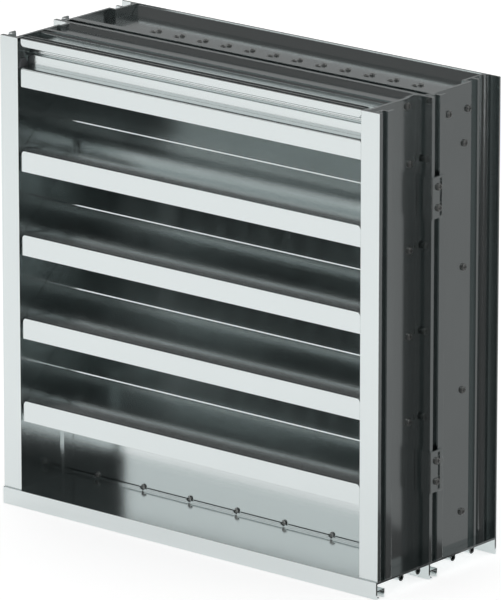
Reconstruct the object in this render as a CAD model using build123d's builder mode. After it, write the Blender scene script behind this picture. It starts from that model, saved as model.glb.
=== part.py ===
"""Two-stage rain louver: a front frame of sloping horizontal blades joined to a rear frame of
upright blades. The frame members and blades are constant-section aluminium extrusions.

Millimetres, +Z up, front towards -Y. The origin is at the middle of the footprint, on the
surface that the three sill legs stand on.
"""

import os
from math import cos, radians, tan

from build123d import *

# Overall sizes
width = 461.0  # across the outer edges of the side flanges
jamb_height = 447.5  # uprights, from the sill pan to the top
front_depth = 76.2  # front frame, face to back
rear_depth = 101.6  # rear frame, face to back
leg_height = 16.5  # sill legs, from the ground to the top of the pan

# Walls and fits
sheet = 2.0  # heads, sills, lips and flanges
wall = 2.5  # upright side walls
fit = 0.3  # gap left at the cut end of a member
hole_play = 0.15  # radial play of a screw in its hole

# Grooved lip at the outer edge of the front flanges
lip_depth = 20.2
groove_start = 4.3
groove_width = 7.5
groove_depth = 6.0
groove_rib = 1.6
groove_rib_height = 2.2

# Front uprights
front_recess = 16.5  # side wall, in from the outer edge of the flange
jamb_face = 21.8  # width of the front face
jamb_return = 9.6  # depth of the thick inner edge behind the face
front_wall_groove = 9.2  # groove along the side wall, near its back edge
front_wall_edge = 2.0  # rib behind that groove

# Rear uprights and the web of the rear head
rear_recess = 9.5
rear_face = 22.0
rear_wall_depth = 70.4  # straight part of the side wall, from the rear face
rear_wall_groove = 9.0  # groove behind the straight part
rear_wall_rib = 3.2  # rib behind that groove
back_recess = 17.0  # side wall beside the back flange
corner_radius = 7.0  # inside corner of the upright at the back flange
web_slant = 8.2  # slanted inside corner of the rear head at the back flange

# Front head
head_set_back = 2.2  # face and drip lip, behind the upright face
head_face = 8.1  # lower edge of the face, below the top
head_face_drop = 0.6  # upper edge of the face, below the top
head_pocket_back = 13.0  # back of the grooved top, from the face
head_pocket_depth = 4.2
head_rib_start = 6.6
head_rib_width = 2.2
head_wall_depth = 12.7  # upright wall behind the face
head_floor_drop = 6.2  # floor of the open trough, below the top
trough_back = 35.3  # back wall of the trough, from the face
ridge_back = 46.0  # back edge of the raised strip behind the trough
strip_groove_start = 37.2  # groove along the raised strip, from the face
strip_groove_width = 4.7
strip_groove_depth = 3.0
strip_slant = 1.8  # slanted front edge of the raised strip
head_plate_drop = 3.8  # rear plate, below the top; its back edge slants up to the top
head_gap = 2.2  # between the back edge of the head and the rear face
head_back_lip = 8.0
cove_drop = 14.2  # middle of the cove in the upright wall, below the top
cove_radius = 3.3
head_lip_drop = 28.7  # top of the drip lip, below the top of the head
head_lip = 18.9
head_lip_radius = 1.8  # rounded top of the drip lip
head_notch = 1.8  # gap between the face and the upright
head_notch_depth = 15.0

# Horizontal blades
blade_count = 4
blade_pitch = 82.6
first_blade_drop = 110.1  # top of the first lip, below the top of the uprights
blade_lip = 20.3
blade_set_back = 2.2  # lip face, behind the upright face
blade_slope = 39.7  # degrees
blade_gap = 6.2  # between the back edge and the rear face
gutter_depth = 4.1  # where the slope meets the lip, below the lip's top
ridge_depth = 41.0  # small step across the slope, from the upright face
ridge_rise = 1.1
blade_notch = 1.8  # gap between the lip and the upright
lip_corner = 4.0  # rounded corners of the lips

# Screw channels formed in the extrusions
channel_radius = 3.6
blade_channel_depth = 64.5  # upper channel of a blade, from the upright face
nose_channel_depth = 27.0  # lower channel, under the slope
nose_channel_drop = 5.2  # its centre, below the slope
head_channel_depth = 60.3
head_channel_drop = 7.5
front_channel_depths = (35.0, 60.0)  # front sill, from the upright face
rear_channel_depths = (36.1, 64.6)  # rear sill and corner cleats, from the rear face
sill_channel_drop = 3.7  # below the top of the pan

# Sills
hook_depth = 10.4
hook_height = 8.5
hook_sheet = 1.5
hook_nib = 3.0
sill_lip = 2.6  # low back lip of the front sill
sill_lip_sheet = 1.0
sill_lip_gap = 1.2  # between the lip and the dam behind it
sill_nose = 1.2  # nose along the front of the lip
sill_nose_sheet = 0.8
dam_height = 46.0  # upright dam of the rear sill

# Upright blades of the rear frame
upright_count = 12
upright_margin_left = 83.6  # first screw line, from the left edge
upright_margin_right = 58.9  # last screw line, from the right edge
upright_sheet = 1.8
upright_front = 26.0  # nose, from the rear face
upright_bends = (41.0, 71.0)  # the two bends, from the rear face
upright_back = 91.0  # tail, from the rear face
upright_nose_swing = 16.0  # sideways swing of the nose, the middle and the tail
upright_middle_swing = 9.9
upright_tail_swing = 16.0
upright_hook = 7.0  # water hooks at the bends, sideways and forwards
upright_screw_depths = (50.6, 57.3)  # two screw channels, from the rear face
upright_channel_radius = 3.0

# Corner cleats under the rear head
cleat_wall = 5.0
cleat_foot = 3.0
cleat_reach = 18.0
cleat_height = 20.0
cleat_margin = 7.0  # cleat in front of its first screw line
cleat_screw_drop = 24.5  # screw line, below the top

# Deflector strips on the rear uprights
deflector_depth = 59.8  # screw line, from the rear face
deflector_reach = 14.0  # strip in front of the screw line
deflector_fin = 12.0
deflector_boss = 9.0
deflector_top_gap = 40.0
deflector_screw_count = 4
deflector_top_inset = 56.6
deflector_bottom_inset = 33.8

# Joining clips
clip_height = 40.0
clip_sheet = 1.5
clip_reach = 16.8  # side plate, behind the rear face
clip_slot_depth = 11.9  # slot in the side plate, from the rear face to its middle
clip_slot_width = 3.0
clip_slot_inset = 2.0
clip_top_inset = 95.8
clip_bottom_inset = 88.1
clip_screw_spacing = 20.0

# Gutter end plugs of the front head
plug_thickness = 1.4
plug_front = 1.0  # from the upright face
plug_depth = 13.0
plug_top_depth = 6.0
plug_height = 8.0
plug_corner = 1.0

# Screws
screw_radius = 2.0
screw_head_radius = 3.6
screw_head_height = 2.3
screw_head_round = 1.5
screw_length = 11.0
recess_length = 4.4
recess_width = 1.1
recess_depth = 1.3
small_screw_ratio = 0.75  # size of the small screws against the large ones
joint_screw_rise = 3.6  # sill joint screws, above the pan
joint_screw_count = 6
joint_margin_left = 53.0
joint_margin_right = 116.0

# Places worked out from the sizes
face_y = sheet - (front_depth + rear_depth + sheet) / 2
rear_y = face_y + front_depth
back_y = rear_y + rear_depth
pan_z = leg_height
under_z = pan_z - sheet
top_z = pan_z + jamb_height
edge_x = width / 2
front_wall_x = edge_x - front_recess
front_inside_x = front_wall_x - wall
jog_inside_x = front_inside_x - wall
rear_wall_x = edge_x - rear_recess
rear_inside_x = rear_wall_x - wall
back_wall_x = edge_x - back_recess
back_inside_x = back_wall_x - wall
pillar_x = edge_x - jamb_face
front_end_x = front_inside_x - fit
rear_end_x = rear_inside_x - fit
rear_face_x = edge_x - rear_face
web_z = top_z - rear_recess
web_under_z = web_z - sheet
hole_radius = screw_radius + hole_play
small_hole_radius = small_screw_ratio * screw_radius + hole_play
slope = tan(radians(blade_slope))
slant_sheet = sheet / cos(radians(blade_slope))  # the sheet measured upright through a slope


def spread(first, last, count):
    """Evenly spaced places from first to last."""
    return [first + i * (last - first) / (count - 1) for i in range(count)]


def across(x):
    """Sketch plane facing +X: its first axis is depth, its second is height."""
    return Plane(origin=(x, 0, 0), x_dir=(0, 1, 0), z_dir=(1, 0, 0))


def bar(a0, b0, a1, b1, mode=Mode.ADD):
    """Rectangle between two corners of a sketch."""
    with Locations(((a0 + a1) / 2, (b0 + b1) / 2)):
        Rectangle(abs(a1 - a0), abs(b1 - b0), mode=mode)


def block(x0, y0, z0, x1, y1, z1, mode=Mode.SUBTRACT):
    """Box between two corners of a part."""
    with Locations(((x0 + x1) / 2, (y0 + y1) / 2, (z0 + z1) / 2)):
        Box(abs(x1 - x0), abs(y1 - y0), abs(z1 - z0), mode=mode)


def channel(centre):
    """Round screw channel."""
    with Locations(centre):
        Circle(channel_radius)
        Circle(hole_radius, mode=Mode.SUBTRACT)


def grooved_lip(face, edge):
    """Lip of a flange that runs back from face, with its outer side at edge: two outer strips
    with a groove between them, and a low rib on the groove's floor."""
    floor = edge - groove_depth
    start = face + groove_start
    end = start + groove_width
    middle = (start + end) / 2
    bar(face, edge - sheet, start, edge)
    bar(start - sheet, floor - sheet, start, edge)
    bar(start - sheet, floor - sheet, end + sheet, floor)
    bar(end, floor - sheet, end + sheet, edge)
    bar(end, edge - sheet, face + lip_depth, edge)
    bar(middle - groove_rib / 2, floor, middle + groove_rib / 2, floor + groove_rib_height)


def side_holes(places, x0, x1):
    """Round holes between two x places, at pairs of depth and height."""
    with BuildSketch(across(min(x0, x1))) as holes:
        with Locations(*places):
            Circle(hole_radius)
    extrude(holes.sketch, amount=abs(x1 - x0), mode=Mode.SUBTRACT)


def down_holes(places, z0, z1):
    """Small round holes between two heights, at pairs of x and depth."""
    with BuildSketch(Plane.XY.offset(z0)) as holes:
        with Locations(*places):
            Circle(small_hole_radius)
    extrude(holes.sketch, amount=z1 - z0, mode=Mode.SUBTRACT)


def joint_holes(y0, y1, radius):
    """Round holes of the sill joint between two depths."""
    with BuildSketch(Plane(origin=(0, y1, 0), x_dir=(1, 0, 0), z_dir=(0, -1, 0))) as holes:
        with Locations(*[(x, pan_z + joint_screw_rise) for x in joint_xs]):
            Circle(radius)
    extrude(holes.sketch, amount=y1 - y0, mode=Mode.SUBTRACT)


def round_lip_ends(x, y, z, up):
    """Round the two end corners of a lip's front plate, on its upper or lower edge."""
    with BuildSketch(Plane(origin=(0, y, 0), x_dir=(1, 0, 0), z_dir=(0, -1, 0))) as corners:
        for side in (-1, 1):
            centre = (side * (x - lip_corner), z - up * lip_corner)
            bar(*centre, side * x, z)
            with Locations(centre):
                Circle(lip_corner, mode=Mode.SUBTRACT)
    extrude(corners.sketch, amount=sheet, dir=(0, 1, 0), mode=Mode.SUBTRACT)


def save(piece, name):
    """Label a finished piece and write it."""
    piece.label = name
    export_step(piece, f"parts/{name}.step")


def save_pair(right, name):
    """Write a right-hand piece and its left-hand mirror image."""
    save(right, f"{name}_right")
    with BuildPart() as left:
        mirror(right, about=Plane.YZ)
    save(left.part, f"{name}_left")


# Section of a horizontal blade, with heights from the top of its lip
lip_y = face_y + blade_set_back
ridge_y = face_y + ridge_depth
blade_back_y = rear_y - blade_gap


def slope_rise(y):
    """Upper side of a blade's slope in front of the ridge."""
    return -gutter_depth + (y - lip_y - sheet) * slope


blade_channel_y = face_y + blade_channel_depth
nose_channel_y = face_y + nose_channel_depth
blade_channels = (
    (blade_channel_y, slope_rise(blade_channel_y) + ridge_rise),
    (nose_channel_y, slope_rise(nose_channel_y) - nose_channel_drop),
)

# Rows of like pieces and their screws
lip_tops = [top_z - first_blade_drop - i * blade_pitch for i in range(blade_count)]
upright_xs = spread(upright_margin_left - edge_x, edge_x - upright_margin_right, upright_count)
joint_xs = spread(joint_margin_left - edge_x, edge_x - joint_margin_right, joint_screw_count)
deflector_y = rear_y + deflector_depth
deflector_zs = spread(pan_z + deflector_bottom_inset, top_z - deflector_top_inset, deflector_screw_count)
clip_zs = (top_z - clip_top_inset, pan_z + clip_bottom_inset)
lip_screw_y = rear_y + groove_start + groove_width / 2
upright_lean = upright_middle_swing / (upright_bends[1] - upright_bends[0])
upright_steps = [(d - upright_screw_depths[1]) * upright_lean for d in upright_screw_depths]
upright_spots = [(x + step, rear_y + depth) for x in upright_xs
                 for step, depth in zip(upright_steps, upright_screw_depths)]
head_channel = (face_y + head_channel_depth, top_z - head_channel_drop)
front_places = [(y, top + rise) for top in lip_tops for y, rise in blade_channels] + [head_channel]
deflector_places = [(deflector_y, z) for z in deflector_zs]
cleat_places = [(rear_y + d, top_z - cleat_screw_drop) for d in rear_channel_depths]
clip_places = [(lip_screw_y, z + s * clip_screw_spacing / 2) for z in clip_zs for s in (-1, 1)]

os.makedirs("parts", exist_ok=True)

# Front uprights, with a jog inwards near the back edge of the side wall
wall_end_y = rear_y - front_wall_edge - front_wall_groove
front_jog_y = wall_end_y - wall - fit
with BuildPart() as front_jamb:
    with BuildSketch(Plane.XY.offset(pan_z)):
        bar(pillar_x, face_y, edge_x, face_y + sheet)
        bar(pillar_x, face_y, front_wall_x, face_y + jamb_return)
        bar(front_inside_x, face_y, front_wall_x, wall_end_y)
        bar(jog_inside_x, wall_end_y - wall, front_inside_x, rear_y)
        bar(front_inside_x, rear_y - front_wall_edge, front_wall_x, rear_y)
    extrude(amount=jamb_height)
    with BuildSketch(Plane(origin=(0, 0, top_z), x_dir=(0, 1, 0), z_dir=(0, 0, -1))):
        grooved_lip(face_y, edge_x)
    extrude(amount=jamb_height)
    side_holes(front_places, jog_inside_x, front_wall_x)
save_pair(front_jamb.part, "front_jamb")

# Rear uprights, with a deep groove and a rib in front of the back flange
groove_y = rear_y + rear_wall_depth
rib_y = groove_y + rear_wall_groove
rear_jog_y = groove_y - wall - fit
with BuildPart() as rear_jamb:
    with BuildSketch(Plane.XY.offset(pan_z)):
        bar(rear_face_x, rear_y, edge_x, rear_y + sheet)
        bar(rear_inside_x, rear_y, rear_wall_x, groove_y)
        bar(back_inside_x, groove_y - wall, rear_inside_x, groove_y)
        bar(back_inside_x, groove_y - wall, back_wall_x, back_y)
        bar(back_wall_x, rib_y, rear_wall_x, rib_y + rear_wall_rib)
        bar(back_inside_x, back_y - sheet, edge_x, back_y)
    extrude(amount=jamb_height)
    upright_edges = rear_jamb.edges().filter_by(Axis.Z)
    inside_corner = (back_wall_x, back_y - sheet, (pan_z + top_z) / 2)
    fillet(upright_edges.sort_by_distance(inside_corner)[0], corner_radius)
    with BuildSketch(Plane(origin=(0, 0, top_z), x_dir=(0, 1, 0), z_dir=(0, 0, -1))):
        grooved_lip(rear_y, edge_x)
    extrude(amount=jamb_height)
    side_holes(deflector_places + cleat_places, rear_inside_x, rear_wall_x)
    side_holes(clip_places, edge_x - groove_depth - sheet, edge_x - groove_depth + groove_rib_height)
save_pair(rear_jamb.part, "rear_jamb")

# Front head: grooved top over a recessed wall with a cove, an open trough, a raised strip,
# a lowered rear plate with a slanted back edge, and a ledge with a drip lip
head_y = face_y + head_set_back
head_wall_y = face_y + head_wall_depth
floor_z = top_z - head_floor_drop
pocket_z = top_z - head_pocket_depth
trough_y = face_y + trough_back
groove_front_y = face_y + strip_groove_start
ridge_end_y = face_y + ridge_back
plate_z = top_z - head_plate_drop
head_end_y = rear_y - head_gap
head_lip_z = top_z - head_lip_drop
with BuildPart() as front_head:
    with BuildSketch(across(-front_end_x)):
        bar(head_y, top_z - head_face, head_y + sheet, top_z - head_face_drop)
        bar(head_y, pocket_z - sheet, face_y + head_pocket_back + sheet, pocket_z)
        bar(face_y + head_pocket_back, pocket_z, face_y + head_pocket_back + sheet / 2, top_z)
        bar(face_y + head_rib_start, pocket_z, face_y + head_rib_start + head_rib_width, top_z)
        bar(head_wall_y, head_lip_z, head_wall_y + sheet, pocket_z)
        with Locations((head_wall_y, top_z - cove_drop)):
            Circle(cove_radius + sheet)
            Circle(cove_radius, mode=Mode.SUBTRACT)
        bar(head_y + sheet, head_lip_z, head_wall_y, pocket_z - sheet, mode=Mode.SUBTRACT)
        bar(head_y, head_lip_z - sheet, head_wall_y + sheet, head_lip_z)
        bar(head_y, head_lip_z - head_lip, head_y + sheet, head_lip_z)
        bar(head_wall_y + sheet / 2, floor_z - sheet, trough_y + sheet, floor_z)
        bar(trough_y, floor_z - sheet, trough_y + sheet, top_z)
        bar(trough_y, top_z - sheet - strip_groove_depth, ridge_end_y, top_z)
        bar(groove_front_y, top_z - strip_groove_depth, groove_front_y + strip_groove_width, top_z,
            mode=Mode.SUBTRACT)
        bar(ridge_end_y - sheet, plate_z - sheet, ridge_end_y, top_z)
        bar(ridge_end_y - sheet, plate_z - sheet, head_end_y, plate_z)
        bar(head_end_y - sheet, plate_z - head_back_lip, head_end_y, plate_z)
        Polygon(
            (head_end_y - head_plate_drop, plate_z),
            (head_end_y, top_z),
            (head_end_y, plate_z),
            align=None,
        )
        channel(head_channel)
    extrude(amount=2 * front_end_x)
    long_edges = front_head.edges().filter_by(Axis.X)
    chamfer(long_edges.sort_by_distance((0, trough_y, top_z))[0], strip_slant)
    long_edges = front_head.edges().filter_by(Axis.X)
    fillet(long_edges.sort_by_distance((0, head_y, head_lip_z))[0], head_lip_radius)
    notch_x = pillar_x - head_notch
    for side in (-1, 1):
        block(side * notch_x, face_y, pan_z, side * edge_x, face_y + head_notch_depth, top_z)
        block(side * (jog_inside_x - fit), front_jog_y, pan_z, side * edge_x, rear_y, top_z)
    round_lip_ends(notch_x, head_y, top_z - head_face, -1)
    round_lip_ends(notch_x, head_y, head_lip_z, 1)
save(front_head.part, "front_head")

# Horizontal blades: a lip with a gutter behind it, a slope with a small step, and screw channels
blade_end_x = pillar_x - blade_notch
for number, lip_z in enumerate(lip_tops, start=1):
    start_y = lip_y + sheet / 2
    under_y = ridge_y + sheet
    with BuildPart() as blade:
        with BuildSketch(across(-front_end_x)):
            bar(lip_y, lip_z - blade_lip, lip_y + sheet, lip_z)
            Polygon(
                (start_y, lip_z + slope_rise(start_y)),
                (ridge_y, lip_z + slope_rise(ridge_y)),
                (ridge_y, lip_z + slope_rise(ridge_y) + ridge_rise),
                (blade_back_y, lip_z + slope_rise(blade_back_y) + ridge_rise),
                (blade_back_y, lip_z + slope_rise(blade_back_y) + ridge_rise - slant_sheet),
                (under_y, lip_z + slope_rise(under_y) + ridge_rise - slant_sheet),
                (under_y, lip_z + slope_rise(under_y) - slant_sheet),
                (start_y, lip_z + slope_rise(start_y) - slant_sheet),
                align=None,
            )
            for y, rise in blade_channels:
                channel((y, lip_z + rise))
        extrude(amount=2 * front_end_x)
        for side in (-1, 1):
            block(side * blade_end_x, face_y, lip_z - blade_lip, side * edge_x, face_y + jamb_return + fit,
                  lip_z + blade_lip)
            block(side * (jog_inside_x - fit), front_jog_y, lip_z, side * edge_x, rear_y,
                  lip_z + blade_pitch)
        round_lip_ends(blade_end_x, lip_y, lip_z, 1)
    save(blade.part, f"horizontal_blade_{number}")


def hooked_leg(y):
    """Front leg of a sill, with an open hook behind its foot."""
    hook_y = y + sheet + hook_depth
    bar(y, 0, y + sheet, pan_z)
    bar(y, hook_height - hook_sheet, hook_y, hook_height)
    bar(hook_y - hook_sheet, 0, hook_y, hook_height)
    bar(y, 0, y + sheet + hook_nib, hook_sheet)


# Front sill: a full-width pan with a low back lip between the uprights, cut away round the joint screws
lip_front_y = rear_y - sill_lip_gap - sill_lip_sheet
with BuildPart() as front_sill:
    with BuildSketch(across(-edge_x)):
        hooked_leg(face_y - sheet)
        bar(face_y - sheet, under_z, rear_y, pan_z)
        for depth in front_channel_depths:
            channel((face_y + depth, pan_z - sill_channel_drop))
    extrude(amount=width)
    with BuildSketch(across(fit - jog_inside_x)):
        bar(lip_front_y, pan_z, lip_front_y + sill_lip_sheet, pan_z + sill_lip)
        bar(lip_front_y - sill_nose, pan_z + sill_lip - sill_nose_sheet, lip_front_y, pan_z + sill_lip)
    extrude(amount=2 * (jog_inside_x - fit))
    joint_holes(lip_front_y - sill_nose, rear_y, small_screw_ratio * screw_head_radius + fit)
save(front_sill.part, "front_sill")

# Rear sill: a full-width pan with a tall dam between the uprights
dam_end_x = rear_face_x - fit
with BuildPart() as rear_sill:
    with BuildSketch(across(-edge_x)):
        hooked_leg(rear_y)
        bar(rear_y, under_z, back_y, pan_z)
        bar(back_y - sheet, 0, back_y, pan_z)
        for depth in rear_channel_depths:
            channel((rear_y + depth, pan_z - sill_channel_drop))
    extrude(amount=width)
    with BuildSketch(across(-dam_end_x)):
        bar(rear_y, pan_z, rear_y + sheet, pan_z + dam_height)
    extrude(amount=2 * dam_end_x)
    joint_holes(rear_y, rear_y + sheet, small_hole_radius)
    down_holes(upright_spots, under_z, pan_z)
save(rear_sill.part, "rear_sill")

# Rear head: a face with a grooved lip, a recessed web and a back flange
with BuildPart() as rear_head:
    with BuildSketch(across(-rear_end_x)):
        grooved_lip(rear_y, top_z)
        bar(rear_y, top_z - rear_face, rear_y + sheet, top_z)
        bar(rear_y, web_under_z, back_y, web_z)
        bar(back_y - sheet, web_under_z, back_y, top_z)
    extrude(amount=2 * rear_end_x)
    long_edges = rear_head.edges().filter_by(Axis.X)
    chamfer(long_edges.sort_by_distance((0, back_y - sheet, web_z))[0], web_slant)
    for side in (-1, 1):
        block(side * (rear_face_x - fit), rear_y, pan_z, side * edge_x, rear_y + sheet + fit, top_z)
        block(side * (back_inside_x - fit), rear_jog_y, pan_z, side * edge_x, back_y, top_z)
    down_holes(upright_spots, web_under_z, web_z)
save(rear_head.part, "rear_head")

# Upright blades: thin bent sheets with two water hooks, carried by two screw channels
nose_y = rear_y + upright_front
first_y, second_y = (rear_y + d for d in upright_bends)
tail_y = rear_y + upright_back
for number, x in enumerate(upright_xs, start=1):
    second_x = x + (second_y - rear_y - upright_screw_depths[1]) * upright_lean
    first_x = second_x - upright_middle_swing
    runs = (
        ((first_x - upright_nose_swing, nose_y), (first_x, first_y)),
        ((first_x, first_y), (second_x, second_y)),
        ((second_x, second_y), (second_x - upright_tail_swing, tail_y)),
        ((first_x, first_y), (first_x + upright_hook, first_y - upright_hook)),
        ((second_x, second_y), (second_x + upright_hook, second_y + upright_hook)),
    )
    spots = [(x + step, rear_y + d) for step, d in zip(upright_steps, upright_screw_depths)]
    with BuildPart() as upright:
        with BuildSketch(Plane.XY.offset(pan_z)):
            for start, end in runs:
                middle = (Vector(*start) + Vector(*end)) / 2
                run = Vector(*end) - Vector(*start)
                turn = Vector(1, 0).get_signed_angle(run, Vector(0, 0, 1))
                with Locations(Location(middle, (0, 0, turn))):
                    SlotCenterToCenter(run.length, upright_sheet)
            with Locations(*spots):
                Circle(upright_channel_radius)
            with Locations(*spots):
                Circle(small_hole_radius, mode=Mode.SUBTRACT)
        extrude(amount=web_under_z - pan_z)
    save(upright.part, f"upright_blade_{number:02d}")

# Corner cleats: angles under the ends of the rear head, screwed through the rear uprights
cleat_front_y = rear_y + rear_channel_depths[0] - cleat_margin
with BuildPart() as cleat:
    with BuildSketch(Plane(origin=(0, rear_jog_y, 0), x_dir=(1, 0, 0), z_dir=(0, -1, 0))):
        bar(rear_inside_x - cleat_wall, web_under_z - cleat_height, rear_inside_x, web_under_z)
        bar(rear_inside_x - cleat_reach, web_under_z - cleat_foot, rear_inside_x, web_under_z)
    extrude(amount=rear_jog_y - cleat_front_y)
    side_holes(cleat_places, rear_inside_x - cleat_wall, rear_inside_x)
save_pair(cleat.part, "corner_cleat")

# Deflector strips on the inner sides of the rear uprights
deflector_front_y = deflector_y - deflector_reach
with BuildPart() as deflector:
    with BuildSketch(Plane.XY.offset(pan_z)):
        bar(rear_inside_x - sheet, deflector_front_y, rear_inside_x, rear_jog_y)
        bar(rear_inside_x - deflector_fin, deflector_front_y, rear_inside_x, deflector_front_y + sheet)
        bar(rear_inside_x - deflector_boss, deflector_y - channel_radius, rear_inside_x,
            deflector_y + channel_radius)
    extrude(amount=jamb_height - deflector_top_gap)
    side_holes(deflector_places, rear_inside_x - deflector_boss, rear_inside_x)
save_pair(deflector.part, "deflector")

# Joining clips: angles that wrap the rear frame's lip and reach in to the front frame's wall
for z, level in zip(clip_zs, ("upper", "lower")):
    low_z = z - clip_height / 2
    with BuildPart() as clip:
        with BuildSketch(Plane.XY.offset(low_z)):
            bar(front_wall_x + fit, rear_y - clip_sheet, edge_x + clip_sheet, rear_y)
            bar(edge_x, rear_y - clip_sheet, edge_x + clip_sheet, rear_y + clip_reach)
        extrude(amount=clip_height)
        upright_edges = clip.edges().filter_by(Axis.Z)
        fillet(upright_edges.sort_by_distance((edge_x + clip_sheet, rear_y - clip_sheet, z))[0], clip_sheet)
        places = [(lip_screw_y, z + s * clip_screw_spacing / 2) for s in (-1, 1)]
        side_holes(places, edge_x, edge_x + clip_sheet)
        slot_y = rear_y + clip_slot_depth - clip_slot_width / 2
        block(edge_x, slot_y, low_z + clip_slot_inset, edge_x + clip_sheet, slot_y + clip_slot_width,
              low_z + clip_height - clip_slot_inset)
    save_pair(clip.part, f"joining_clip_{level}")

# Gutter end plugs: thin pads that close the ends of the front head's gutter
plug_y = face_y + plug_front
plug_inset = (plug_depth - plug_top_depth) / 2
with BuildPart() as plug:
    with BuildSketch(across(pillar_x - plug_thickness)) as plug_face:
        Polygon(
            (plug_y, head_lip_z),
            (plug_y + plug_depth, head_lip_z),
            (plug_y + plug_depth - plug_inset, head_lip_z + plug_height),
            (plug_y + plug_inset, head_lip_z + plug_height),
            align=None,
        )
        fillet(plug_face.vertices().group_by(Axis.Y)[-1], plug_corner)
    extrude(amount=plug_thickness)
save_pair(plug.part, "gutter_plug")

# One screw: axis +Z, seat of the round head at zero, cross recess on top
with BuildPart() as screw:
    Cylinder(screw_head_radius, screw_head_height, align=(Align.CENTER, Align.CENTER, Align.MIN))
    fillet(screw.edges().filter_by(GeomType.CIRCLE).sort_by(Axis.Z)[-1], screw_head_round)
    with BuildSketch(Plane.XY.offset(screw_head_height)):
        Rectangle(recess_length, recess_width)
        Rectangle(recess_width, recess_length)
    extrude(amount=-recess_depth, mode=Mode.SUBTRACT)
    Cylinder(screw_radius, screw_length, align=(Align.CENTER, Align.CENTER, Align.MAX))
with BuildPart() as small:
    add(screw.part)
    scale(by=small_screw_ratio)


def save_screws(name, kind, seats, outward):
    """Write a group of like screws, seated at points with their heads outward."""
    with BuildPart() as group:
        with Locations(*[Plane(origin=seat, z_dir=outward).location for seat in seats]):
            add(kind)
    save(group.part, name)


for side, side_name in ((-1, "left"), (1, "right")):
    outward = (side, 0, 0)
    groups = (
        ("front_screws", front_wall_x, front_places),
        ("rear_screws", rear_wall_x, deflector_places + cleat_places),
        ("clip_screws", edge_x + clip_sheet, clip_places),
    )
    for name, x, places in groups:
        save_screws(f"{name}_{side_name}", screw.part, [(side * x, *place) for place in places], outward)
save_screws("upright_top_screws", small.part, [(*spot, web_z) for spot in upright_spots], (0, 0, 1))
save_screws("upright_bottom_screws", small.part, [(*spot, under_z) for spot in upright_spots], (0, 0, -1))
joint_seats = [(x, rear_y, pan_z + joint_screw_rise) for x in joint_xs]
save_screws("sill_joint_screws", small.part, joint_seats, (0, -1, 0))
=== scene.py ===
"""Looks of the two-stage rain louver: finishes for its metal, screws and plugs, and a plain studio.

Run as a script in Blender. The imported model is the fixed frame, front towards -Y, in metres.
"""

import bpy
import numpy as np
from bpy.props import FloatProperty, FloatVectorProperty, PointerProperty
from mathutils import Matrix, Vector

bl_info = {
    "name": "Rain louver looks",
    "version": (1, 0, 0),
    "blender": (4, 5, 0),
    "location": "View3D > Sidebar > Louver",
    "description": "Finishes for a two-stage aluminium rain louver and a plain studio round it",
    "category": "Object",
}

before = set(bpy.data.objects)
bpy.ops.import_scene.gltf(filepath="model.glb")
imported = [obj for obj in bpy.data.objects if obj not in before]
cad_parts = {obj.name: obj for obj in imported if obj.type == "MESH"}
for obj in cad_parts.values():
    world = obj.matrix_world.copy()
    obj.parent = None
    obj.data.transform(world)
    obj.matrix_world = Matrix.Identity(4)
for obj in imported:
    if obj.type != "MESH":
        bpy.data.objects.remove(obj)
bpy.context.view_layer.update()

PHOTO_SIZE = (501, 600)
SENSOR = 36.0
VIEW_END = 100.0
WHITE = (1.0, 1.0, 1.0, 1.0)

UPRIGHT_NODES = ("front_jamb", "rear_jamb", "upright_blade", "deflector", "corner_cleat", "joining_clip")
LEVEL_NODES = ("front_head", "rear_head", "front_sill", "rear_sill", "horizontal_blade")
SCREW_NODES = ("front_screws", "rear_screws", "clip_screws", "upright_top_screws", "upright_bottom_screws",
               "sill_joint_screws")
PLUG_NODES = ("gutter_plug",)

X_AXIS = 0
Z_AXIS = 2

# Sockets of a Mix node that blends two colours
MIX_AMOUNT = 0
MIX_FIRST = 6
MIX_SECOND = 7
MIX_RESULT = 2

# Surface figures: noise details and scales, shares of colour and roughness, and bump strengths
EVEN = (1.0, 1.0, 1.0)
NOISE_ROUGHNESS = 0.55
SOFT_DETAIL = 2.0
FULL_DETAIL = 3.0
BUMP_DISTANCE = 0.0002
EDGE_SAMPLES = 4
LINE_STRETCH = 0.004
CLOUD_SCALE = 14.0
CLOUD_SHARE = 0.6
LINE_SHARE = 0.4
METAL_TINTS = (0.96, 1.04)
METAL_SPREAD = 0.06
METAL_BUMP = 0.03
MOTTLE_SCALE = 900.0
SCREW_TINTS = (0.86, 1.12)
SCREW_SPREAD = 0.12
SCREW_BUMP = 0.08
GRAIN_SCALE = 2600.0
PLUG_CLOUD_SCALE = 60.0
PLUG_TINTS = (0.8, 1.2)
PLUG_ROUGHNESS = 0.42
PLUG_SPREAD = 0.16
PLUG_BUMP = 0.12

# Points along each side of a flat sheet, and round and up a standing card
SHEET_POINTS = 3
TURN_POINTS = 33
RISE_POINTS = 9

# Corners of the floor, far outside the picture
FLOOR_CORNERS = ((-20.0, -20.0), (20.0, -20.0), (20.0, 20.0), (-20.0, 20.0))

# Flat cards: name, four corners, height, and the studio figure that gives the grey level
FLAT_CARDS = (
    ("side_floor_card", ((0.24, 0.0), (2.5, 0.8), (2.5, 2.5), (0.24, 2.0)), 0.0005, "side_card"),
    ("flag_floor_card", ((0.236, -0.1), (1.0, -1.9), (2.5, 0.9), (0.236, 0.06)), 0.001, "flag_card"),
    ("flag_front_card", ((0.226, -0.1), (0.215, -1.9), (1.0, -1.9), (0.236, -0.1)), 0.001, "flag_card"),
    ("well_floor_card", ((-1.4, 0.1), (0.236, 0.1), (0.236, 1.7), (-1.4, 1.7)), 0.0005, "well_card"),
    ("top_card", ((-1.9, -1.9), (1.6, -1.9), (1.6, 1.2), (-1.9, 1.2)), 1.75, "top_card"),
)

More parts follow.
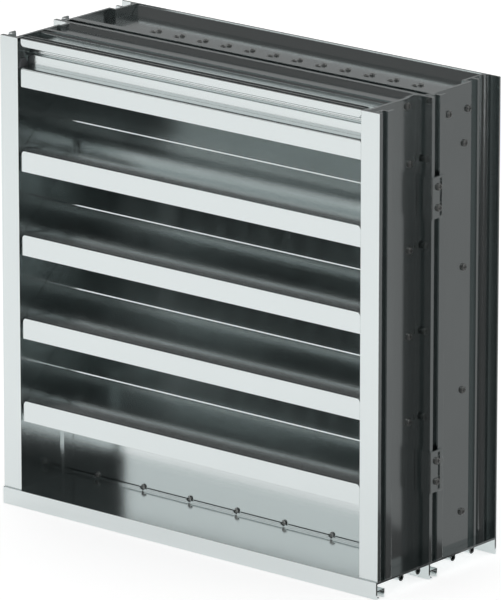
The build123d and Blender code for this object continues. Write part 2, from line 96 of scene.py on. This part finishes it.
# Standing cards: name, radius, angles in degrees, heights, and the studio figure that gives the grey level
STANDING_CARDS = (
    ("side_wall_card", 1.6, (18.0, 88.0), (0.0, 1.7), "side_card"),
    ("flag_wall_card", 1.9, (-66.0, 20.0), (0.0, 1.7), "flag_card"),
    ("back_wall_card", 1.6, (88.0, 200.0), (0.62, 1.7), "back_card"),
    ("back_low_card", 1.6, (88.0, 205.0), (0.0, 0.62), "well_card"),
    ("front_low_card", 2.6, (200.0, 294.0), (0.0, 0.5), "front_card"),
    ("front_left_card", 2.6, (200.0, 212.0), (0.5, 1.9), "front_card"),
    ("front_right_card", 2.6, (248.0, 294.0), (0.5, 1.9), "front_card"),
    ("front_high_card", 2.6, (212.0, 248.0), (1.55, 1.9), "front_card"),
)
CARD_LEVELS = ("side_card", "flag_card", "back_card", "top_card", "well_card", "front_card")


class LouverFinish(bpy.types.PropertyGroup):
    """Colours and surface figures of the louver's own materials."""

    metal_colour: FloatVectorProperty(
        name="Aluminium", description="Base colour of the mill-finish aluminium", subtype="COLOR",
        size=3, min=0.0, max=1.0, default=(0.655, 0.70, 0.70))
    metal_roughness: FloatProperty(
        name="Aluminium roughness", description="Mean roughness of the extruded metal", subtype="FACTOR",
        min=0.02, max=1.0, default=0.15)
    line_spacing: FloatProperty(
        name="Draw line spacing", description="Width of the die lines that run along each member",
        unit="LENGTH", min=0.0002, max=0.02, default=0.0016)
    edge_radius: FloatProperty(
        name="Edge radius", description="Small radius that the light catches on the metal's edges",
        unit="LENGTH", min=0.0, max=0.002, default=0.0005)
    screw_colour: FloatVectorProperty(
        name="Screw steel", description="Base colour of the plated screws", subtype="COLOR",
        size=3, min=0.0, max=1.0, default=(0.60, 0.61, 0.60))
    screw_roughness: FloatProperty(
        name="Screw roughness", description="Mean roughness of the plated screws", subtype="FACTOR",
        min=0.02, max=1.0, default=0.28)
    plug_colour: FloatVectorProperty(
        name="Plug plastic", description="Base colour of the gutter end plugs", subtype="COLOR",
        size=3, min=0.0, max=1.0, default=(0.11, 0.115, 0.12))


class LouverStudio(bpy.types.PropertyGroup):
    """Camera, floor and light figures of the studio."""

    camera_place: FloatVectorProperty(
        name="Camera place", description="Where the camera stands", subtype="TRANSLATION", unit="LENGTH",
        size=3, default=(4.2825, -5.1226, 2.1638))
    camera_forward: FloatVectorProperty(
        name="Camera direction", description="Direction that the camera looks in", subtype="DIRECTION",
        size=3, default=(-0.615611, 0.737111, -0.278729))
    focal_pixels: FloatProperty(
        name="Focal length", description="Focal length in pixels of the photograph's frame",
        min=500.0, max=20000.0, default=7367.4)
    floor_colour: FloatVectorProperty(
        name="Floor", description="Colour of the pale floor", subtype="COLOR", size=3, min=0.0, max=1.0,
        default=(0.8, 0.8, 0.8))
    floor_glow: FloatProperty(
        name="Floor glow", description="White that the floor gives by itself", subtype="FACTOR",
        min=0.0, max=1.0, default=0.62)
    sky_level: FloatProperty(
        name="Sky level", description="Strength of the soft light from all round", min=0.0, max=2.0,
        default=0.62)
    side_card: FloatProperty(
        name="Side card", description="Grey level of the card to the right, behind", subtype="FACTOR",
        min=0.0, max=1.0, default=0.16)
    flag_card: FloatProperty(
        name="Black flag", description="Grey level of the flag to the right, in front", subtype="FACTOR",
        min=0.0, max=1.0, default=0.045)
    back_card: FloatProperty(
        name="Back card", description="Grey level of the high card behind the left side", subtype="FACTOR",
        min=0.0, max=1.0, default=0.24)
    top_card: FloatProperty(
        name="Top card", description="Grey level of the card above", subtype="FACTOR",
        min=0.0, max=1.0, default=0.09)
    front_card: FloatProperty(
        name="Front card", description="Grey level of the surround in front of the left side",
        subtype="FACTOR", min=0.0, max=1.0, default=0.12)
    well_card: FloatProperty(
        name="Low back card", description="Grey level of the floor and the low card behind the openings",
        subtype="FACTOR", min=0.0, max=1.0, default=0.22)


class Net:
    """The node tree of one material or world, emptied, with short ways to add nodes."""

    def __init__(self, owner):
        owner.use_nodes = True
        self.tree = owner.node_tree
        self.tree.nodes.clear()

    def node(self, kind, settings=None, values=None):
        """Adds a node of a type, sets its settings first, then the values or links of its sockets."""
        made = self.tree.nodes.new(kind)
        for name, value in (settings or {}).items():
            setattr(made, name, value)
        for name, value in (values or {}).items():
            if isinstance(value, Wire):
                self.tree.links.new(value.socket, made.inputs[name])
            else:
                made.inputs[name].default_value = value
        return made

    def wire(self, kind, output, settings=None, values=None):
        """The named output of a new node, as a wire."""
        return Wire(self, self.node(kind, settings, values).outputs[output])


class Wire:
    """A value socket whose arithmetic adds Math nodes to its net."""

    def __init__(self, net, socket):
        self.net = net
        self.socket = socket

    def maths(self, operation, first, second):
        """One Math node on two values or wires."""
        return self.net.wire("ShaderNodeMath", 0, {"operation": operation}, {0: first, 1: second})

    def __add__(self, other):
        return self.maths("ADD", self, other)

    def __radd__(self, other):
        return self.maths("ADD", other, self)

    def __sub__(self, other):
        return self.maths("SUBTRACT", self, other)

    def __rsub__(self, other):
        return self.maths("SUBTRACT", other, self)

    def __mul__(self, other):
        return self.maths("MULTIPLY", self, other)

    def __rmul__(self, other):
        return self.maths("MULTIPLY", other, self)

    def largest(self, other):
        """The larger of two values."""
        return self.maths("MAXIMUM", self, other)


def place_noise(net, scale, detail, stretch=EVEN):
    """Noise between 0 and 1 on Object coordinates, its pattern stretched by a factor along each axis."""
    spot = net.wire("ShaderNodeTexCoord", "Object")
    spot = net.wire("ShaderNodeMapping", "Vector", {"vector_type": "POINT"},
                    {"Vector": spot, "Scale": stretch})
    return net.wire("ShaderNodeTexNoise", "Fac", {"noise_dimensions": "3D"},
                    {"Vector": spot, "Scale": scale, "Detail": detail, "Roughness": NOISE_ROUGHNESS})


def tinted(net, amount, colour, tints):
    """A colour that a Mix node carries from its first tint to its second."""
    first, second = ((*shade(colour, tint), 1.0) for tint in tints)
    return net.wire("ShaderNodeMix", MIX_RESULT, {"data_type": "RGBA"},
                    {MIX_AMOUNT: amount, MIX_FIRST: first, MIX_SECOND: second})


def shade(colour, factor):
    """A colour made lighter or darker by a factor."""
    return tuple(min(1.0, channel * factor) for channel in colour)


def edges(net, finish):
    """Normals that round the edges by the finish's small radius."""
    return net.wire("ShaderNodeBevel", "Normal", {"samples": EDGE_SAMPLES}, {"Radius": finish.edge_radius})


def bumped(net, height, strength, normals=None):
    """Normals bumped by a height, on top of other normals where they are given."""
    values = {"Strength": strength, "Distance": BUMP_DISTANCE, "Height": height}
    if normals is not None:
        values["Normal"] = normals
    return net.wire("ShaderNodeBump", "Normal", None, values)


def surface(net, colour, roughness, normal, metallic):
    """Ends a material's net in one Principled shader."""
    shader = net.wire("ShaderNodeBsdfPrincipled", "BSDF", None,
                      {"Base Color": colour, "Metallic": metallic, "Roughness": roughness, "Normal": normal})
    net.node("ShaderNodeOutputMaterial", None, {"Surface": shader})


def drawn_metal(name, along, finish):
    """Extruded aluminium: fine die lines along one axis, faint clouding, and edges that catch the light."""
    material = bpy.data.materials.new(name)
    net = Net(material)
    stretch = list(EVEN)
    stretch[along] = LINE_STRETCH
    lines = place_noise(net, 1.0 / finish.line_spacing, SOFT_DETAIL, stretch)
    cloud = place_noise(net, CLOUD_SCALE, FULL_DETAIL)
    colour = tinted(net, cloud * CLOUD_SHARE + lines * LINE_SHARE, finish.metal_colour, METAL_TINTS)
    roughness = finish.metal_roughness - METAL_SPREAD + lines * METAL_SPREAD + cloud * METAL_SPREAD
    surface(net, colour, roughness, bumped(net, lines, METAL_BUMP, edges(net, finish)), 1.0)
    return material


def plated_steel(finish):
    """Zinc-plated screw steel: a mottled plating with a soft grain."""
    material = bpy.data.materials.new("plated_steel")
    net = Net(material)
    mottle = place_noise(net, MOTTLE_SCALE, FULL_DETAIL)
    colour = tinted(net, mottle, finish.screw_colour, SCREW_TINTS)
    roughness = finish.screw_roughness - SCREW_SPREAD / 2 + mottle * SCREW_SPREAD
    surface(net, colour, roughness, bumped(net, mottle, SCREW_BUMP, edges(net, finish)), 1.0)
    return material


def moulded_plastic(finish):
    """Moulded plug plastic: dark, with a fine eroded grain."""
    material = bpy.data.materials.new("moulded_plastic")
    net = Net(material)
    grain = place_noise(net, GRAIN_SCALE, SOFT_DETAIL)
    cloud = place_noise(net, PLUG_CLOUD_SCALE, SOFT_DETAIL)
    colour = tinted(net, cloud, finish.plug_colour, PLUG_TINTS)
    surface(net, colour, PLUG_ROUGHNESS + grain * PLUG_SPREAD, bumped(net, grain, PLUG_BUMP), 0.0)
    return material


def card_finish(name, level):
    """A plain card that shines at one grey level."""
    material = bpy.data.materials.new(name)
    net = Net(material)
    shader = net.wire("ShaderNodeEmission", "Emission", None,
                      {"Color": (level, level, level, 1.0), "Strength": 1.0})
    net.node("ShaderNodeOutputMaterial", None, {"Surface": shader})
    return material


def nodes_of(stems):
    """The frame's nodes whose names start with one of the stems."""
    found = [node for name, node in sorted(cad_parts.items()) if name.startswith(stems)]
    if not found:
        raise RuntimeError(f"no node starts with {stems}")
    return found


def dress(stems, material):
    """Gives one material to the nodes whose names start with one of the stems."""
    for node in nodes_of(stems):
        node.data.materials.clear()
        node.data.materials.append(material)


def grid_mesh(name, points):
    """A mesh from an array of points, rows by columns by 3, with one quad between each four neighbours."""
    rows, columns = points.shape[:2]
    corner = np.arange(rows * columns).reshape(rows, columns)
    faces = np.stack([corner[:-1, :-1], corner[:-1, 1:], corner[1:, 1:], corner[1:, :-1]], axis=-1)
    mesh = bpy.data.meshes.new(name)
    mesh.from_pydata(points.reshape(-1, 3).tolist(), [], faces.reshape(-1, 4).tolist())
    mesh.update()
    piece = bpy.data.objects.new(name, mesh)
    bpy.context.scene.collection.objects.link(piece)
    return piece


def four_corners(name, corners, height):
    """A flat sheet at one height between four corners: the bilinear blend of the corners, two parameters
    from 0 to 1."""
    share = np.linspace(0.0, 1.0, SHEET_POINTS)
    u, v = np.meshgrid(share, share)
    a, b, c, d = (np.array([*corner, height]) for corner in corners)
    u, v = u[..., None], v[..., None]
    return grid_mesh(name, (1 - v) * ((1 - u) * a + u * b) + v * ((1 - u) * d + u * c))


def standing_card(name, radius, angles, heights):
    """A curved card: one parameter turns round the vertical axis at a radius, the other rises between two
    heights."""
    turns = np.radians(np.linspace(*angles, TURN_POINTS))
    turn, rise = np.meshgrid(turns, np.linspace(*heights, RISE_POINTS))
    return grid_mesh(name, np.stack([radius * np.cos(turn), radius * np.sin(turn), rise], axis=-1))


def only_in_reflections(piece):
    """Keeps a card out of the picture, the shadows and the diffuse light."""
    piece.visible_camera = False
    piece.visible_diffuse = False
    piece.visible_shadow = False
    piece.visible_transmission = False
    piece.visible_volume_scatter = False


class LOUVER_OT_upright_members(bpy.types.Operator):
    """Give the uprights, upright blades, deflectors, cleats and clips metal drawn along their height"""

    bl_idname = "louver.upright_members"
    bl_label = "Finish upright members"

    def execute(self, context):
        dress(UPRIGHT_NODES, drawn_metal("aluminium_upright", Z_AXIS, context.scene.louver_finish))
        return {"FINISHED"}


class LOUVER_OT_level_members(bpy.types.Operator):
    """Give the heads, sills and horizontal blades metal drawn along their length"""

    bl_idname = "louver.level_members"
    bl_label = "Finish level members"

    def execute(self, context):
        dress(LEVEL_NODES, drawn_metal("aluminium_level", X_AXIS, context.scene.louver_finish))
        return {"FINISHED"}


class LOUVER_OT_screws(bpy.types.Operator):
    """Give the screws plated steel"""

    bl_idname = "louver.screws"
    bl_label = "Finish screws"

    def execute(self, context):
        dress(SCREW_NODES, plated_steel(context.scene.louver_finish))
        return {"FINISHED"}


class LOUVER_OT_plugs(bpy.types.Operator):
    """Give the gutter plugs moulded plastic"""

    bl_idname = "louver.plugs"
    bl_label = "Finish plugs"

    def execute(self, context):
        dress(PLUG_NODES, moulded_plastic(context.scene.louver_finish))
        return {"FINISHED"}


class LOUVER_OT_studio(bpy.types.Operator):
    """Make the camera, the pale floor, the soft light and the cards that the metal reflects"""

    bl_idname = "louver.studio"
    bl_label = "Make studio"

    def execute(self, context):
        studio = context.scene.louver_studio
        self.camera(context, studio)
        self.floor(studio)
        self.cards(studio)
        self.light(context, studio)
        context.scene.view_settings.view_transform = "Standard"
        return {"FINISHED"}

    def camera(self, context, studio):
        """The camera at the photograph's angle, its lens from the focal length in pixels."""
        lens = bpy.data.cameras.new("camera")
        lens.sensor_width = SENSOR
        lens.lens = studio.focal_pixels * SENSOR / max(PHOTO_SIZE)
        lens.clip_end = VIEW_END
        camera = bpy.data.objects.new("camera", lens)
        camera.location = studio.camera_place
        camera.rotation_euler = Vector(studio.camera_forward).to_track_quat("-Z", "Y").to_euler()
        context.scene.collection.objects.link(camera)
        context.scene.camera = camera

    def floor(self, studio):
        """A pale floor: part of its white is its own, so that it stays white and keeps a soft shadow."""
        material = bpy.data.materials.new("pale_floor")
        net = Net(material)
        matt = net.wire("ShaderNodeBsdfDiffuse", "BSDF", None, {"Color": (*studio.floor_colour, 1.0)})
        own = net.wire("ShaderNodeEmission", "Emission", None,
                       {"Color": WHITE, "Strength": studio.floor_glow})
        both = net.wire("ShaderNodeAddShader", "Shader", None, {0: matt, 1: own})
        net.node("ShaderNodeOutputMaterial", None, {"Surface": both})
        floor = four_corners("floor", FLOOR_CORNERS, 0.0)
        floor.data.materials.append(material)

    def cards(self, studio):
        """Cards that only reflections see: grey to the right and behind, black in front of the right side,
        dark above and low down behind, and a dark surround in front with one bright window."""
        finishes = {level: card_finish(level, getattr(studio, level)) for level in CARD_LEVELS}
        for name, corners, height, level in FLAT_CARDS:
            self.card(four_corners(name, corners, height), finishes[level])
        for name, radius, angles, heights, level in STANDING_CARDS:
            self.card(standing_card(name, radius, angles, heights), finishes[level])

    def card(self, piece, finish):
        """Gives a card its finish and keeps it out of all but reflections."""
        piece.data.materials.append(finish)
        only_in_reflections(piece)

    def light(self, context, studio):
        """A white world for the camera and reflections, and a soft sky for the rest."""
        world = bpy.data.worlds.new("studio")
        context.scene.world = world
        net = Net(world)
        path = net.node("ShaderNodeLightPath")
        seen = Wire(net, path.outputs["Is Camera Ray"])
        seen = seen.largest(Wire(net, path.outputs["Is Glossy Ray"]))
        seen = seen.largest(Wire(net, path.outputs["Is Transmission Ray"]))
        level = studio.sky_level + seen * (1.0 - studio.sky_level)
        sky = net.wire("ShaderNodeBackground", "Background", None, {"Color": WHITE, "Strength": level})
        net.node("ShaderNodeOutputWorld", None, {"Surface": sky})


class LOUVER_PT_sidebar(bpy.types.Panel):
    """Lists the louver's figures and steps in the sidebar"""

    bl_idname = "LOUVER_PT_sidebar"
    bl_label = "Rain louver"
    bl_space_type = "VIEW_3D"
    bl_region_type = "UI"
    bl_category = "Louver"

    def draw(self, context):
        for group in (context.scene.louver_finish, context.scene.louver_studio):
            box = self.layout.box()
            for name in group.__annotations__:
                box.prop(group, name)
        for step in STEPS:
            self.layout.operator(step.bl_idname)


STEPS = (LOUVER_OT_upright_members, LOUVER_OT_level_members, LOUVER_OT_screws, LOUVER_OT_plugs,
         LOUVER_OT_studio)
CLASSES = (LouverFinish, LouverStudio, *STEPS, LOUVER_PT_sidebar)


def register():
    for kind in CLASSES:
        bpy.utils.register_class(kind)
    bpy.types.Scene.louver_finish = PointerProperty(type=LouverFinish)
    bpy.types.Scene.louver_studio = PointerProperty(type=LouverStudio)


def unregister():
    del bpy.types.Scene.louver_studio
    del bpy.types.Scene.louver_finish
    for kind in reversed(CLASSES):
        bpy.utils.unregister_class(kind)


def main():
    """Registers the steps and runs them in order."""
    register()
    bpy.ops.louver.upright_members()
    bpy.ops.louver.level_members()
    bpy.ops.louver.screws()
    bpy.ops.louver.plugs()
    bpy.ops.louver.studio()


if __name__ == "__main__":
    main()
